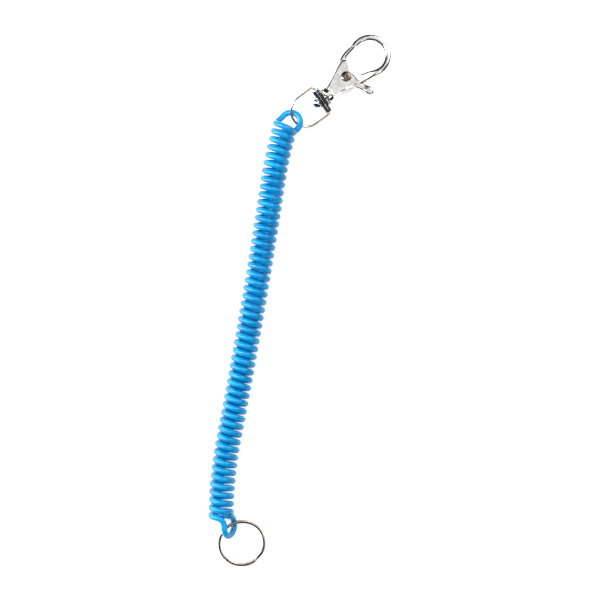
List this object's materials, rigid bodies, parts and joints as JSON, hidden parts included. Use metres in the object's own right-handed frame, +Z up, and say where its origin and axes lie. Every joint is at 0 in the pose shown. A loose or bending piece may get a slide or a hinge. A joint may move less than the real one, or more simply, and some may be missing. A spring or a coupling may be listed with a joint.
{
  "type": "coiled key cord",
  "caption": "Spiral plastic key cord ending in a swivel trigger clasp on a D-shaped wire bail and in a split ring.",
  "frame": {"origin": "middle of the object's outline in plan, on the surface that it lies on", "axes": "+X to the right across the cord, +Y along the cord's length towards the trigger clasp, +Z up from the table"},
  "size_m": [0.0776, 0.2249, 0.011],
  "materials": {
    "cord_blue": "clear tinted soft plastic, glossy and slightly translucent",
    "nickel": "bright nickel plate over a zinc casting",
    "plated_wire": "nickel-plated steel wire, lightly rubbed",
    "spring_steel": "drawn spring steel wire"
  },
  "bodies": {
    "cord": {"coil": "cord_blue", "top_loop": "cord_blue"},
    "lower_end": {"bottom_loop": "cord_blue"},
    "key_ring": {"split_ring": "plated_wire"},
    "bail": {"wire_bail": "plated_wire"},
    "barrel": {"swivel_barrel": "nickel"},
    "clasp": {"clasp_body": "nickel", "swivel_rivet": "nickel", "gate_rivet": "nickel", "gate_spring": "spring_steel"},
    "gate": {"gate_lever": "nickel"}
  },
  "joints": [
    {"name": "bail_swing", "type": "hinge", "parent": "cord", "child": "bail", "pos_m": [-0.00224, 0.07584, 0.0045], "axis": [0.5239, -0.7117, -0.468], "range_deg": [-35, 50]},
    {"name": "swivel_fold", "type": "hinge", "parent": "bail", "child": "barrel", "pos_m": [0.00903, 0.08414, 0.0045], "axis": [0.5239, -0.7117, -0.468], "range_deg": [-75, 75]},
    {"name": "swivel_spin", "type": "hinge", "parent": "barrel", "child": "clasp", "pos_m": [0.00903, 0.08414, 0.0045], "axis": [0.7775, 0.624, -0.0785], "continuous": true},
    {"name": "gate_pivot", "type": "hinge", "parent": "clasp", "child": "gate", "pos_m": [0.01923, 0.09373, 0.0034], "axis": [-0.0612, -0.0491, -0.9969], "range_deg": [0, 32], "stiffness_Nm_per_rad": 0.02, "springref_deg": -14.32, "deforming": ["gate_spring"]},
    {"name": "coil_stretch", "type": "slide", "parent": "cord", "child": "lower_end", "axis": [0, -1, 0], "range_m": [0, 0.4], "stiffness_N_per_m": 3, "deforming": ["coil"]},
    {"name": "split_ring_swing", "type": "hinge", "parent": "lower_end", "child": "key_ring", "pos_m": [-0.02971, -0.09478, 0.00507], "axis": [-0.8312, -0.556, 0], "range_deg": [-30, 45]}
  ]
}
